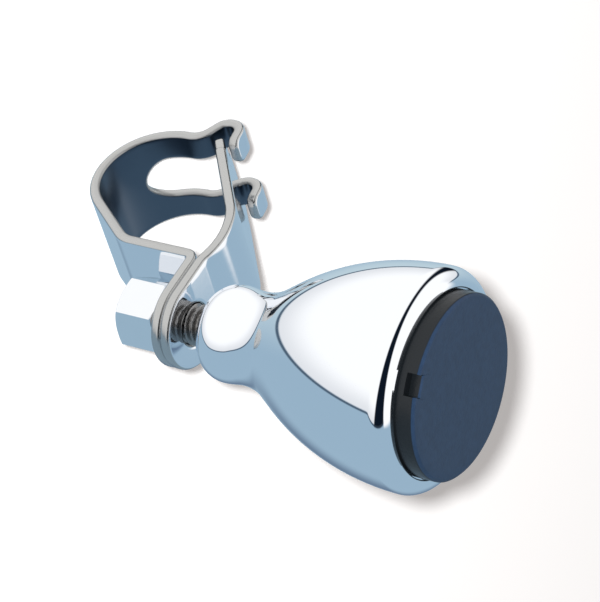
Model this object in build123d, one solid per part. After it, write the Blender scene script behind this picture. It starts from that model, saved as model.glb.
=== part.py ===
from build123d import *
import math
import os

# Steering wheel spinner knob on a hooked two-piece strap clamp.
# Millimetres. The origin is the centre of the clamp's loop. +X runs along the steering
# wheel's rim, +Y from the spindle to the hooks and +Z along the spindle to the cap.

# Clamp straps
strap_thickness = 2.1
strap_width = 20.8
loop_radius = 11.2
loop_arc = 145.0
run_depth = 16.0
run_ease_radius = 5.5
flange_bend_radius = 0.6
flange_face_z = 20.5
flange_end_radius = 8.8
flange_taper_y = -8.0
slot_width = 9.2
slot_start_angle = 55.0

# Hooks at the end of the loop strap
rise_bend_radius = 3.0
rise_angle = 65.0
rise_run = 2.0
curl_radius = 1.6
curl_angle = 145.0
tip_run = 3.6
tip_corner_radius = 1.9

# Latch strap
kick_y = -18.5
kick_radius = 4.0
kick_angle = 18.0
arch_radius = 13.0
lean_angle = 38.0
hook_clearance = 0.35
shoulder_offset = 0.6
ear_inset = 0.8
ear_reach = 3.4
tongue_width = 7.6
tongue_reach = 3.2
tongue_corner_radius = 1.5

# Nut, lock washer and thread
thread_radius = 3.97
thread_clearance = 0.08
bolt_clearance = 0.35
swing_allowance = 0.9
nut_across_flats = 12.7
nut_height = 8.8
nut_chamfer_angle = 30.0
nut_turning_room = 0.4
nut_rest_angle = -11.0
lock_washer_radius = 7.0
lock_washer_thickness = 0.9
lock_tooth_count = 10
lock_tooth_depth = 1.3
lock_gap_width = 1.3
thread_beyond_nut = 1.0

# Spindle
shoulder_radius = 4.76
head_radius = 7.2
head_height = 5.0
head_chamfer = 0.5
socket_across_flats = 4.76
socket_depth = 3.0

# Knob shell, heights measured from its nose face
nose_gap = 4.0
nose_face_radius = 5.3
nose_radius = 9.25
nose_height = 5.2
waist_radius = 8.85
waist_height = 9.4
flare_radius = 12.0
flank_run = 3.4
rim_radius = 20.7
rim_height = 46.0
rim_width = 3.45
rim_roll_height = 3.3
nose_lip = 2.6
hub_radius = 8.3
crown_wall = 2.5
cavity_floor_radius = 9.6
cavity_floor_height = 17.5
rib_count = 6
rib_start_angle = 30.0
rib_thickness = 1.6
rib_drop = 5.0

# Bushings and washers
bushing_wall = 1.5
bushing_length = 9.0
bushing_flange_radius = 8.0
bushing_flange_thickness = 1.0
running_clearance = 0.05
thrust_washer_radius = 7.6
thrust_washer_thickness = 1.0
spring_washer_radius = 7.0
spring_washer_thickness = 0.45
spring_washer_height = 0.95
end_float = 0.1
head_room = 4.0

# Cap
cap_height = 5.05
cap_seat_depth = 1.5
cap_fit = 0.25
cap_wall = 2.2
cap_edge_chamfer = 0.55
cap_skirt_wall = 1.6
cap_skirt_length = 5.0
seat_width = 1.7
notch_width = 4.0
notch_depth = 2.0
notch_angle = 225.0

# Places worked out from the sizes
strap_half = strap_thickness / 2
loop_mid_radius = loop_radius + strap_half
run_mid_y = -(run_depth + strap_half)
flange_mid_z = flange_face_z - strap_half
latch_mid_z = flange_face_z + strap_half
nut_corner_radius = nut_across_flats / 2 / math.cos(math.radians(30))
bolt_y = run_mid_y - strap_half - nut_corner_radius - nut_turning_room
washer_top_z = flange_face_z - strap_thickness
nut_top_z = washer_top_z - lock_washer_thickness
thread_end_z = nut_top_z - nut_height - thread_beyond_nut
nose_z = flange_face_z + strap_thickness + nose_gap
nose_lip_z = nose_z + nose_lip
recess_radius = rim_radius - rim_width
cap_radius = recess_radius - cap_fit
seat_radius = recess_radius - seat_width
lip_z = nose_z + rim_height + rim_roll_height
seat_z = lip_z - cap_seat_depth
head_z = seat_z - head_room - head_height
thrust_washer_z = head_z - spring_washer_height - thrust_washer_thickness
hub_top_z = thrust_washer_z - end_float - bushing_flange_thickness
bushing_radius = shoulder_radius + running_clearance + bushing_wall
bell_width = rim_radius - waist_radius
bell_height = rim_height - waist_height
flare_angle = 2 * math.atan(bell_width / (bell_height + flank_run))
crown_radius = (bell_height - flank_run * math.cos(flare_angle)) / math.sin(flare_angle) - flare_radius
crown_inset = rim_width + seat_width - crown_wall
cavity_corner_height = rim_height - math.sqrt(crown_inset * (2 * crown_radius - crown_inset))
spindle_axis = Pos(0, bolt_y, 0)


def heading(angle):
    """Unit direction in the strap's side view, whose axes are Y and Z."""
    return Vector(math.cos(math.radians(angle)), math.sin(math.radians(angle)))


def lay_strap(start, angle, steps):
    """Lay runs and bends end to end; each step is a run, a bend radius and a turn."""
    edges = []
    point = Vector(*start)
    for run, radius, turn in steps:
        if run > 0:
            edges.append(Line(point, point + heading(angle) * run))
            point = edges[-1] @ 1
        if turn != 0:
            edges.append(JernArc(point, heading(angle), radius, turn))
            point = edges[-1] @ 1
            angle = angle + turn
    return edges


def strap_body(edges):
    """Give a side-view middle line the strap's thickness and width."""
    side = trace(edges, line_width=strap_thickness)
    return extrude(Plane.YZ * side, amount=strap_width / 2, both=True)


def flange_blank():
    """Plan outline that narrows from the band to the flange's round end."""
    with BuildSketch() as plan:
        with Locations((0, flange_taper_y + 2 * strap_width)):
            Rectangle(strap_width, 4 * strap_width)
        with Locations((0, bolt_y)):
            Circle(flange_end_radius)
        make_hull()
    return extrude(plan.sketch, amount=4 * strap_width, both=True)


def hook_edges():
    """Middle line of the hooks, from the top of the loop to the tips."""
    steps = [
        (0, rise_bend_radius + strap_half, -rise_angle),
        (rise_run, curl_radius + strap_half, curl_angle),
        (tip_run, 0, 0),
    ]
    return lay_strap((loop_mid_radius, 0), 90, steps)


def tail_edges():
    """Middle line from the foot of the loop along the run and down the flange."""
    lean = 180 - loop_arc
    sine = math.sin(math.radians(lean))
    cosine = math.cos(math.radians(lean))
    drop = -run_mid_y - loop_mid_radius * cosine - run_ease_radius * (1 - cosine)
    slope_run = drop / sine
    bend = flange_bend_radius + strap_half
    start = (-loop_mid_radius * cosine, -loop_mid_radius * sine)
    eased_z = start[1] + slope_run * cosine + run_ease_radius * sine
    flange_run = run_mid_y - bend - bolt_y + flange_end_radius
    steps = [
        (slope_run, run_ease_radius, -lean),
        (flange_mid_z - bend - eased_z, bend, 90),
        (flange_run, 0, 0),
    ]
    return lay_strap(start, 90 + lean, steps)


def loop_strap():
    """Loop, two forked hooks and a bent flange from one strip."""
    loop = CenterArc((0, 0), loop_mid_radius, 0, -loop_arc)
    hooks = hook_edges()
    body = strap_body([loop] + hooks + tail_edges()) & flange_blank()
    slot_z = -loop_mid_radius * math.sin(math.radians(slot_start_angle))
    slot = Pos(0, slot_z + slot_width / 2) * Circle(slot_width / 2)
    slot += Pos(0, slot_z + slot_width / 2 + strap_width) * Rectangle(slot_width, 2 * strap_width)
    slot_plane = Plane((0, 0, 0), x_dir=(1, 0, 0), z_dir=(0, -1, 0))
    body -= extrude(slot_plane * slot, amount=-2 * strap_width)
    clearance_radius = thread_radius + bolt_clearance
    hole = SlotCenterToCenter(swing_allowance, 2 * clearance_radius, rotation=90)
    body -= extrude(Pos(0, bolt_y + swing_allowance / 2) * hole, amount=2 * flange_face_z)
    return round_tips(body, hooks[-1])


def round_tips(body, tip_line):
    """Round the corners at the hooks' tips."""
    tip = tip_line @ 1
    across = tip_line % 1
    across = Vector(0, -across.Y, across.X)
    point = Vector(0, tip.X, tip.Y)
    corners = body.edges().filter_by(Axis((0, 0, 0), across))
    corners = corners.filter_by(lambda edge: abs((edge.center() - point).Y) < strap_half
                                and abs((edge.center() - point).Z) < strap_half)
    return fillet(corners, tip_corner_radius)


def tip_corner():
    """Inner corner of a hook's tip in the side view."""
    tip_line = hook_edges()[-1]
    direction = tip_line % 1
    return (tip_line @ 1) + Vector(-direction.Y, direction.X) * strap_half


def latch_edges():
    """Middle line of the latch strap; its straight part passes just inside the hooks."""
    normal = heading(90 - lean_angle)
    reach = normal.dot(tip_corner()) - hook_clearance - strap_half
    kick = kick_radius + strap_half
    start = (bolt_y - flange_end_radius, latch_mid_z)
    steps = [(kick_y - start[0], kick, kick_angle)]
    kicked = lay_strap(start, 0, steps)[-1] @ 1
    arch = arch_radius + strap_half
    low = math.radians(kick_angle)
    high = math.radians(lean_angle)
    arch_step = Vector(arch * (math.sin(low) + math.sin(high)), arch * (math.cos(high) - math.cos(low)))
    kick_run = (reach - normal.dot(kicked + arch_step)) / math.sin(low + high)
    arch_end = kicked + heading(kick_angle) * kick_run + arch_step
    along = heading(-lean_angle)
    last_run = along.dot(tip_corner() - arch_end) + ear_reach + tongue_reach
    steps.append((kick_run, arch, -kick_angle - lean_angle))
    steps.append((last_run, 0, 0))
    return lay_strap(start, 0, steps)


def latch_strap():
    """Plate that closes the loop: round flange, arch, two ears and a tongue."""
    edges = latch_edges()
    body = strap_body(edges) & flange_blank()
    end = edges[-1] @ 1
    normal = heading(90 - lean_angle)
    head = Plane((0, end.X, end.Y), x_dir=(1, 0, 0), z_dir=(0, normal.X, normal.Y))
    shoulder_reach = ear_reach + tongue_reach + shoulder_offset
    waste = Rectangle(2 * strap_width, 2 * shoulder_reach)
    ear_width = strap_width - 2 * ear_inset
    ears = Pos(0, -shoulder_reach) * Rectangle(ear_width, 2 * (shoulder_reach - tongue_reach))
    tongue = Pos(0, -strap_width / 2) * Rectangle(tongue_width, strap_width)
    tongue = fillet(tongue.vertices().group_by(Axis.Y)[-1], tongue_corner_radius)
    waste = waste - ears - tongue
    body -= extrude(head * waste, amount=2 * strap_thickness, both=True)
    hole = Pos(0, bolt_y) * Circle(thread_radius)
    return body - extrude(hole, amount=2 * flange_face_z)


def chamfered_hexagon(across_flats, height):
    """Hexagonal prism with its corners turned down at both ends."""
    corner = across_flats / 2 / math.cos(math.radians(30))
    prism = extrude(RegularPolygon(across_flats / 2, 6, major_radius=False), amount=height)
    rise = (corner - across_flats / 2) * math.tan(math.radians(nut_chamfer_angle))
    outline = Polyline((0, 0), (across_flats / 2, 0), (corner, rise), (corner, height - rise),
                       (across_flats / 2, height), (0, height), close=True)
    return prism & revolve(Plane.XZ * make_face(outline), Axis.Z)


def clamp_nut():
    nut = chamfered_hexagon(nut_across_flats, nut_height)
    nut -= Cylinder(thread_radius + thread_clearance, 3 * nut_height)
    return spindle_axis * Pos(0, 0, nut_top_z - nut_height) * Rot(0, 0, nut_rest_angle) * nut


def lock_washer():
    """Flat washer with internal teeth."""
    bore = thread_radius + bolt_clearance
    washer = Circle(lock_washer_radius) - Circle(bore)
    gap = Rectangle(2 * lock_tooth_depth, lock_gap_width)
    washer -= PolarLocations(bore, lock_tooth_count) * gap
    return spindle_axis * Pos(0, 0, nut_top_z) * extrude(washer, amount=lock_washer_thickness)


def spindle_bolt():
    """Shoulder screw: socket head, plain shoulder and threaded end."""
    shoulder_z = nose_lip_z + end_float
    outline = Polyline((0, thread_end_z), (thread_radius, thread_end_z), (thread_radius, shoulder_z),
                       (shoulder_radius, shoulder_z), (shoulder_radius, head_z), (head_radius, head_z),
                       (head_radius, head_z + head_height - head_chamfer),
                       (head_radius - head_chamfer, head_z + head_height), (0, head_z + head_height), close=True)
    screw = revolve(Plane.XZ * make_face(outline), Axis.Z)
    socket = RegularPolygon(socket_across_flats / 2, 6, major_radius=False)
    screw -= Pos(0, 0, head_z + head_height - socket_depth) * extrude(socket, amount=2 * socket_depth)
    return spindle_axis * screw


def ring(inner, outer, low, height):
    """Plain ring round the spindle."""
    return spindle_axis * Pos(0, 0, low) * extrude(Circle(outer) - Circle(inner), amount=height)


def front_bushing():
    inner = shoulder_radius + running_clearance
    return ring(inner, bushing_radius, nose_lip_z, bushing_length)


def rear_bushing():
    """Bushing with a flange that rests on the hub."""
    inner = shoulder_radius + running_clearance
    sleeve = ring(inner, bushing_radius, hub_top_z - bushing_length, bushing_length)
    return sleeve + ring(inner, bushing_flange_radius, hub_top_z, bushing_flange_thickness)


def thrust_washer():
    return ring(shoulder_radius + running_clearance, thrust_washer_radius, thrust_washer_z, thrust_washer_thickness)


def spring_washer():
    """Coned spring washer under the spindle's head."""
    inner = shoulder_radius + running_clearance
    rise = spring_washer_height - spring_washer_thickness
    outline = Polyline((inner, rise), (spring_washer_radius, 0), (spring_washer_radius, spring_washer_thickness),
                       (inner, spring_washer_height), close=True)
    washer = revolve(Plane.XZ * make_face(outline), Axis.Z)
    return spindle_axis * Pos(0, 0, head_z - spring_washer_height) * washer


def shell_outer():
    """Turned outside of the knob: nose bead, waist, bell and rolled rim."""
    slope = Vector(math.sin(flare_angle), math.cos(flare_angle))
    nose_side = Vector(nose_radius, nose_height)
    waist = Vector(waist_radius, waist_height)
    start = waist + Vector(1 - slope.Y, slope.X) * flare_radius
    nose = TangentArc(nose_side, (nose_face_radius, 0), tangent=(0, -1))
    neck = Spline(nose_side, waist, start, tangents=[(0, 1), slope])
    flank = Line(start, start + slope * flank_run)
    crown = JernArc(flank @ 1, slope, crown_radius, math.degrees(flare_angle))
    rim = EllipticalCenterArc((recess_radius, rim_height), rim_width, rim_roll_height, arc_size=90)
    top_height = rim_height + rim_roll_height
    back = Polyline((recess_radius, top_height), (0, top_height), (0, 0), (nose_face_radius, 0))
    outline = make_face(Wire([nose, neck, flank, crown, rim] + list(back.edges())))
    return Pos(0, 0, nose_z) * revolve(Plane.XZ * outline, Axis.Z)


def shell_cavity():
    """Space inside the bell: cap recess, seat and the hollow round the hub."""
    open_z = lip_z + cap_height
    outline = Polyline((0, open_z), (recess_radius, open_z), (recess_radius, seat_z), (seat_radius, seat_z),
                       (seat_radius, nose_z + cavity_corner_height),
                       (cavity_floor_radius, nose_z + cavity_floor_height),
                       (hub_radius, nose_z + cavity_floor_height), (hub_radius, hub_top_z), (0, hub_top_z),
                       close=True)
    return revolve(Plane.XZ * make_face(outline), Axis.Z)


def shell_webs():
    """Radial webs that tie the hub to the bell; they stay when the hollow is cut."""
    height = hub_top_z - rib_drop - nose_z
    web = Box(rim_radius, rib_thickness, height, align=(Align.MIN, Align.CENTER, Align.MIN))
    webs = PolarLocations(0, rib_count, rib_start_angle) * web
    return [Pos(0, 0, nose_z) * part for part in webs]


def knob_shell():
    """Hollow bell with a webbed hub, bored for the spindle."""
    shell = shell_outer() - (shell_cavity() - shell_webs())
    bore = Pos(0, 0, nose_lip_z) * extrude(Circle(bushing_radius), amount=rim_height)
    mouth = Pos(0, 0, nose_z) * Cylinder(thread_radius + bolt_clearance, 4 * nose_lip)
    return spindle_axis * (shell - bore - mouth)


def knob_cap():
    """Snap-in cap with a skirt and a notch for prying it out."""
    disc = extrude(Circle(cap_radius), amount=cap_height)
    disc = chamfer(disc.edges().group_by(Axis.Z)[-1], cap_edge_chamfer)
    skirt_radius = seat_radius - cap_fit
    inner = skirt_radius - cap_skirt_wall
    disc += Pos(0, 0, -cap_skirt_length) * extrude(Circle(skirt_radius), amount=cap_skirt_length)
    hollow = Pos(0, 0, -cap_skirt_length) * extrude(Circle(inner), amount=cap_skirt_length + cap_height - cap_wall)
    notch = Pos(cap_radius, 0, cap_height / 2) * Box(2 * notch_depth, notch_width, 2 * cap_height)
    cap = disc - hollow - Rot(0, 0, notch_angle) * notch
    return spindle_axis * Pos(0, 0, seat_z) * cap


pieces = {
    "loop_strap": loop_strap,
    "latch_strap": latch_strap,
    "clamp_nut": clamp_nut,
    "lock_washer": lock_washer,
    "spindle_bolt": spindle_bolt,
    "front_bushing": front_bushing,
    "rear_bushing": rear_bushing,
    "thrust_washer": thrust_washer,
    "spring_washer": spring_washer,
    "knob_shell": knob_shell,
    "knob_cap": knob_cap,
}

os.makedirs("parts", exist_ok=True)
for name, make in pieces.items():
    export_step(make(), "parts/" + name + ".step")
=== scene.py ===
import math

import bmesh
import bpy
import numpy as np
from mathutils import Matrix, Vector


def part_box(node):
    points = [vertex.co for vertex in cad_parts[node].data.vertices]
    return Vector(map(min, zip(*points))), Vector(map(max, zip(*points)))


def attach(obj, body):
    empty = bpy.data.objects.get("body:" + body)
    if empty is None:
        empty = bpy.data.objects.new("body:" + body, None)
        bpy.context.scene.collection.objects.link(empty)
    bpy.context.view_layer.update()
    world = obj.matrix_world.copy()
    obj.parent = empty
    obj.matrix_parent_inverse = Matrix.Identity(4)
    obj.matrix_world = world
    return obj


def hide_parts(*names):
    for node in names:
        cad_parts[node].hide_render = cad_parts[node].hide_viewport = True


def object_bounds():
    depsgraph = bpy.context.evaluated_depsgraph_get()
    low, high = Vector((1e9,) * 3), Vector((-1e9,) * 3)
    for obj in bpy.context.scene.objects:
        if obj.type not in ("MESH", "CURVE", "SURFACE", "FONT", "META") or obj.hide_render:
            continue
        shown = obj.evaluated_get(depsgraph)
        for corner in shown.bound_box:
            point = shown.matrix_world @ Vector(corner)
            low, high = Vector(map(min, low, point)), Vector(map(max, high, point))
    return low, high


bl_info = {
    "name": "Spinner Knob Looks",
    "version": (1, 0, 0),
    "blender": (4, 5, 0),
    "location": "View3D > Sidebar > Spinner Knob",
    "description": "Finishes and smooth surfaces of a steering wheel spinner knob",
    "category": "Object",
}

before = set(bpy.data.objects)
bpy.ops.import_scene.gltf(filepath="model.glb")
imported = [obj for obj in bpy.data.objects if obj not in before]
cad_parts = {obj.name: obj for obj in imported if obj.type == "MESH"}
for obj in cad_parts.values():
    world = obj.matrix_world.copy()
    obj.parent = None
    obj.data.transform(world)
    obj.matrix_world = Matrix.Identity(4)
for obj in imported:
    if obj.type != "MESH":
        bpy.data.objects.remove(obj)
cad_low, cad_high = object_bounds()
shell_low, shell_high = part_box("knob_shell")
cap_low, cap_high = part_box("knob_cap")
axis_y = (shell_low.y + shell_high.y) / 2
STRAP_MARKS = ("cut_edge", "inside")
FULL_TURN = 2 * math.pi
SHELL_SIDES = 256
SPINDLE_SIDES = 96
NUT_SIDES = 240
THREAD_ROWS = 260
RIM_POINTS = 200
PLATE_COLUMNS = 10
SENSOR_WIDTH = 36.0
FLOOR_LIFT = 0.15
DOME_GLOW = 1.12
MERGE_DISTANCE = 1e-7
SMALLEST_EDGE = 1e-8
BAND_STEP = 0.0003
LAMP_ABOVE, LAMP_LEFT = 0.5, 0.85


def size(name, metres, text):
    """A length that a user may change, in metres."""
    return bpy.props.FloatProperty(
        name=name, description=text, default=metres, min=0.0, unit="LENGTH", precision=5
    )


def turn(name, degrees, text):
    """An angle that a user may change, kept in radians."""
    return bpy.props.FloatProperty(
        name=name, description=text, default=math.radians(degrees), unit="ROTATION", subtype="ANGLE"
    )


def share(name, value, text):
    """A plain number from 0 to 1."""
    return bpy.props.FloatProperty(name=name, description=text, default=value, min=0.0, max=1.0)


def tint(name, red, green, blue, text):
    """A colour that a user may change."""
    return bpy.props.FloatVectorProperty(
        name=name, description=text, default=(red, green, blue), subtype="COLOR", size=3, min=0.0, max=1.0
    )


def direction(name, value, text, **more):
    """Three numbers along X, Y and Z."""
    return bpy.props.FloatVectorProperty(
        name=name, description=text, default=value, subtype="XYZ", size=3, **more
    )


class StrapSettings(bpy.types.PropertyGroup):
    """Sizes and colours of the two straps"""

    thickness: size("Thickness", 0.0021, "Thickness of both strips")
    width: size("Width", 0.0208, "Width of the band round the wheel's rim")
    edge_round: size("Edge round", 0.0007, "Radius of the tumbled edges")
    loop_radius: size("Loop radius", 0.0112, "Inside radius of the loop")
    loop_arc: turn("Loop arc", 145.0, "How far the loop's arc goes round")
    run_depth: size("Run depth", 0.0160, "Distance of the upright run from the loop's centre")
    run_ease: size("Run ease", 0.0055, "Bend radius between loop and upright run")
    flange_bend: size("Flange bend", 0.0006, "Inside radius of the sharp bend at the flange")
    flange_face: size("Flange face", 0.0205, "Height of the face where the two flanges meet")
    flange_end: size("Flange end", 0.0088, "Radius of the flange's round end")
    taper_start: size("Taper start", 0.008, "Distance from the loop's centre where the band narrows")
    slot_width: size("Slot width", 0.0092, "Width of the slot between the hooks")
    slot_angle: turn("Slot angle", 55.0, "Where the slot starts on the loop")
    rise_bend: size("Rise bend", 0.003, "Inside radius of the bend under the hooks")
    rise_angle: turn("Rise angle", 65.0, "Turn of the bend under the hooks")
    rise_run: size("Rise run", 0.002, "Straight stretch under the hooks")
    curl: size("Curl", 0.0016, "Inside radius of the hooks")
    curl_angle: turn("Curl angle", 145.0, "Turn of the hooks")
    tip_run: size("Tip run", 0.0036, "Straight end of the hooks")
    tip_corner: size("Tip corner", 0.0019, "Rounding of the hooks' corners")
    kick_start: size("Kick start", 0.0185, "Distance from the loop's centre where the latch rises")
    kick_radius: size("Kick radius", 0.004, "Inside radius of the latch's first bend")
    kick_angle: turn("Kick angle", 18.0, "Rise of the latch beside the flange")
    arch_radius: size("Arch radius", 0.013, "Inside radius of the latch's arch")
    lean_angle: turn("Lean angle", 38.0, "Slope of the latch's straight part")
    hook_clearance: size("Hook clearance", 0.00035, "Gap between latch and hook tips")
    shoulder_offset: size("Shoulder offset", 0.0006, "Distance from the shoulder to the hook tips")
    ear_inset: size("Ear inset", 0.0008, "How much narrower the ears are on each side")
    ear_corner: size("Ear corner", 0.001, "Rounding of the ears' corners")
    ear_reach: size("Ear reach", 0.0034, "Length of the ears inside the hooks")
    tongue_width: size("Tongue width", 0.0076, "Width of the tongue between the hooks")
    tongue_reach: size("Tongue reach", 0.0032, "Length of the tongue past the ears")
    tongue_corner: size("Tongue corner", 0.0015, "Rounding of the tongue's corners")
    swing_allowance: size("Swing allowance", 0.0009, "How much longer the loop strap's hole is than wide")
    bolt_clearance: size("Bolt clearance", 0.00035, "Gap round the thread in the loop strap")
    chrome: tint("Chrome", 0.86, 0.88, 0.91, "Colour of the straps' polished faces")
    sheared: tint("Sheared edge", 0.50, 0.50, 0.49, "Colour of the straps' cut edges")
    # painted shade: a dark blue laid on the loop's inner face, which is the same polished metal, standing for
    # the shade and dark reflection inside the loop
    inside: tint("Inside", 0.105, 0.135, 0.175, "Colour of the loop's inner face")


class FastenerSettings(bpy.types.PropertyGroup):
    """Sizes and colours of the spindle and the nut"""

    thread_radius: size("Thread radius", 0.00397, "Radius over the thread's crests")
    thread_pitch: size("Thread pitch", 0.0014111, "Distance from crest to crest")
    thread_depth: size("Thread depth", 0.00087, "Depth of the thread's grooves")
    shoulder_radius: size("Shoulder radius", 0.00476, "Radius of the plain shoulder")
    head_radius: size("Head radius", 0.0072, "Radius of the socket head")
    head_height: size("Head height", 0.005, "Height of the socket head")
    socket_flats: size("Socket flats", 0.00476, "Distance across the socket's flats")
    socket_depth: size("Socket depth", 0.003, "Depth of the socket")
    end_float: size("End float", 0.0001, "Running gap along the spindle")
    nut_flats: size("Nut flats", 0.0127, "Distance across the nut's flats")
    nut_height: size("Nut height", 0.00878, "Height of the nut")
    nut_chamfer: turn("Nut chamfer", 30.0, "Angle of the nut's turned corners")
    nut_angle: turn("Nut angle", -11.0, "How far the nut is turned at rest")
    thread_clearance: size("Thread clearance", 0.00008, "Gap between nut and thread")
    steel: tint("Steel", 0.36, 0.35, 0.34, "Colour of the thread")
    chrome: tint("Chrome", 0.86, 0.88, 0.90, "Colour of the nut")


class ShellSettings(bpy.types.PropertyGroup):
    """Sizes and colours of the bell"""

    nose_face: size("Nose face", 0.0053, "Radius of the flat nose face")
    nose_radius: size("Nose radius", 0.00925, "Largest radius of the nose bead")
    nose_height: size("Nose height", 0.0052, "Height of the nose bead")
    waist_radius: size("Waist radius", 0.00885, "Smallest radius behind the bead")
    waist_height: size("Waist height", 0.0094, "Height of the waist")
    flare_radius: size("Flare radius", 0.012, "Bend radius from waist to bell")
    flank_run: size("Flank run", 0.0034, "Straight stretch of the bell's flank")
    rim_height: size("Rim height", 0.046, "Height of the bell's widest ring")
    rim_width: size("Rim width", 0.00345, "Width of the rolled rim")
    rim_roll: size("Rim roll", 0.0033, "Height of the rim's roll")
    lip_round: size("Lip round", 0.0003, "Rounding of the rim's inner lip")
    seat_depth: size("Seat depth", 0.0015, "Depth of the cap's seat below the lip")
    seat_width: size("Seat width", 0.0017, "Width of the cap's seat")
    nose_lip: size("Nose lip", 0.0026, "Thickness of the lip under the front bushing")
    hub_radius: size("Hub radius", 0.0083, "Outside radius of the hub")
    bore_radius: size("Bore radius", 0.00631, "Radius of the bore for the bushings")
    mouth_radius: size("Mouth radius", 0.00432, "Radius of the hole in the nose")
    crown_wall: size("Crown wall", 0.0025, "Wall of the bell beside the hollow's corner")
    floor_radius: size("Floor radius", 0.0096, "Radius of the hollow's floor")
    floor_height: size("Floor height", 0.0175, "Height of the hollow's floor")
    hub_depth: size("Hub depth", 0.01205, "Depth of the hub below the cap's seat")
    web_count: bpy.props.IntProperty(name="Webs", description="Number of webs", default=6, min=0)
    web_angle: turn("Web angle", 30.0, "Direction of the first web")
    web_thickness: size("Web thickness", 0.0016, "Thickness of the webs")
    web_drop: size("Web drop", 0.005, "Depth of the webs below the hub's top")
    chrome: tint("Chrome", 0.88, 0.90, 0.93, "Colour of the bell's chrome")


class CapSettings(bpy.types.PropertyGroup):
    """Sizes and colours of the cap"""

    fit: size("Fit", 0.00025, "Gap between cap and rim")
    height: size("Height", 0.00505, "Height of the cap above its seat")
    edge: size("Edge", 0.00055, "Width of the chamfered edge")
    wall: size("Wall", 0.0022, "Thickness of the cap's face")
    skirt_wall: size("Skirt wall", 0.0016, "Thickness of the skirt")
    skirt_length: size("Skirt length", 0.005, "Length of the skirt")
    notch_width: size("Notch width", 0.004, "Width of the pry notch")
    notch_depth: size("Notch depth", 0.002, "Depth of the pry notch")
    notch_drop: size("Notch drop", 0.0023, "Height of the pry notch below the cap's face")
    notch_angle: turn("Notch angle", 225.0, "Direction of the pry notch")
    grain: size("Grain", 0.00022, "Size of the moulded grain")
    plastic: tint("Plastic", 0.014, 0.033, 0.072, "Colour of the cap's face")
    # painted shade: the cap's side is the same plastic as its face, coloured near black to stand for the
    # shade that falls there
    side: tint("Side", 0.007, 0.009, 0.011, "Colour of the cap's side")


class StageSettings(bpy.types.PropertyGroup):
    """Camera, lamp and surroundings"""

    camera_place: direction(
        "Camera place", (-0.31161, -0.28632, 0.28238), "Where the camera stands", unit="LENGTH"
    )
    camera_sight: direction(
        "Camera sight", (0.64944, 0.56653, -0.50722), "Direction the camera looks in"
    )
    camera_up: direction(
        "Camera up", (-0.72620, 0.65992, -0.19274), "Direction that is up in the picture"
    )
    lens: bpy.props.FloatProperty(
        name="Lens", description="Focal length for a 36 mm sensor", default=155.085, min=1.0, subtype="NONE"
    )
    floor: tint("Floor", 0.90, 0.90, 0.90, "Colour of the floor")
    shade: tint("Shade", 1.0, 0.93, 0.90, "Colour of the soft light from all round")
    shade_level: share("Shade level", 0.34, "Strength of the soft light from all round")
    card: tint("Card", 1.0, 1.0, 1.0, "Colour of the white cards that the chrome mirrors")
    card_edge: tint("Card's edge", 0.76, 0.77, 0.79, "Colour of the large card towards its edge")
    haze: tint("Haze", 0.50, 0.62, 0.68, "Palest blue that the chrome mirrors high up")
    sky: tint("Sky", 0.31, 0.44, 0.55, "Pale blue that the chrome mirrors beside the cards")
    dusk: tint("Dusk", 0.11, 0.165, 0.25, "Dark blue that the chrome mirrors low down behind the object")
    seam: tint("Seam", 0.004, 0.008, 0.016, "Dark gap that the chrome mirrors between the cards")
    hem: tint("Hem", 0.07, 0.11, 0.16, "Dark hem that the chrome mirrors round the large card")
    dome_radius: size("Dome radius", 2.0, "Radius of the sphere that the chrome mirrors")
    lamp_power: bpy.props.FloatProperty(
        name="Lamp power", description="Power of the lamp beside the camera", default=15.0, min=0.0
    )
    lamp_radius: size("Lamp radius", 0.006, "Radius of the lamp beside the camera")
    lamp_shift: size("Lamp shift", 0.0115, "How far the lamp stands from the camera")


def heading(angle):
    """Unit direction in a plane, from its angle in radians."""
    return np.array([math.cos(angle), math.sin(angle)])


def line(start, end, count):
    """Evenly spaced points on the straight line between two points."""
    share_along = np.linspace(0.0, 1.0, count)[:, None]
    return np.asarray(start) * (1 - share_along) + np.asarray(end) * share_along


def arc(centre, radii, start, end, count):
    """Points of an ellipse's arc: the centre plus each radius times the angle's cosine or sine."""
    angle = np.linspace(start, end, count)
    return np.stack([centre[0] + radii[0] * np.cos(angle), centre[1] + radii[1] * np.sin(angle)], 1)


def bezier(a, b, c, d, count):
    """Points of a cubic curve with ends a and d, whose tangents point to b and from c."""
    t = np.linspace(0.0, 1.0, count)[:, None]
    points = [np.asarray(p, float) for p in (a, b, c, d)]
    weights = [(1 - t) ** 3, 3 * t * (1 - t) ** 2, 3 * t**2 * (1 - t), t**3]
    return sum(w * p for w, p in zip(weights, points))


def chain(*stretches):
    """Stretches of points joined end to end, without the doubled points."""
    pairs = zip(stretches, stretches[1:])
    kept = [stretches[0]] + [s[1:] if np.allclose(s[0], p[-1]) else s for p, s in pairs]
    return np.concatenate(kept)


def round_angles(count):
    """Evenly spaced angles round a full turn."""
    return np.linspace(0.0, FULL_TURN, count, endpoint=False)


def woven(grid, wrap_rows=False, wrap_columns=True):
    """A grid of points with its quads, whose corner numbers count the points row by row."""
    rows, columns = grid.shape[:2]
    row = np.arange(rows if wrap_rows else rows - 1)[:, None]
    column = np.arange(columns if wrap_columns else columns - 1)[None, :]
    next_row, next_column = (row + 1) % rows, (column + 1) % columns
    corners = np.broadcast_arrays(row * columns + column, row * columns + next_column,
                                  next_row * columns + next_column, next_row * columns + column)
    return grid, np.stack(corners, -1).reshape(-1, 4)


def gather(grids):
    """Several grids, each with its quads, as one list of points and one of quads."""
    points = [grid.reshape(-1, grid.shape[-1]) for grid, _ in grids]
    firsts = np.cumsum([0] + [len(flat) for flat in points])
    return np.concatenate(points), np.concatenate([quads + first for (_, quads), first in zip(grids, firsts)])


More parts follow.
